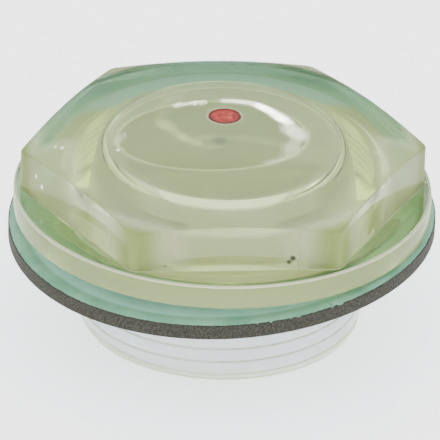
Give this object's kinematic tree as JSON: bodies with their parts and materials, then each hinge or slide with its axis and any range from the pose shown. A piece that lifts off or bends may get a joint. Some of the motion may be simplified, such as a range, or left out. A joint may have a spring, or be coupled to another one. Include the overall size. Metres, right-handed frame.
{
  "type": "oil level sight plug",
  "caption": "Clear moulded hexagon screw plug with a domed window for reading the oil level, a round flange, a hollow fine-threaded skirt and a loose sealing ring.",
  "frame": {"origin": "centre of the skirt's open end, on which the plug stands", "axes": "+Z along the plug's axis from the open end to the head; the hexagon has a corner on +X and two flats square to Y"},
  "size_m": [0.0606, 0.0606, 0.0317],
  "materials": {
    "clear_plastic": "clear, hazy, slightly yellow-green, smooth as moulded",
    "gasket_fibre": "smooth teal faces, rough speckled grey cut edge",
    "mark_red": "matt"
  },
  "bodies": {
    "root": {"plug_body": "clear_plastic", "gasket": "gasket_fibre", "level_mark": "mark_red"}
  },
  "joints": []
}
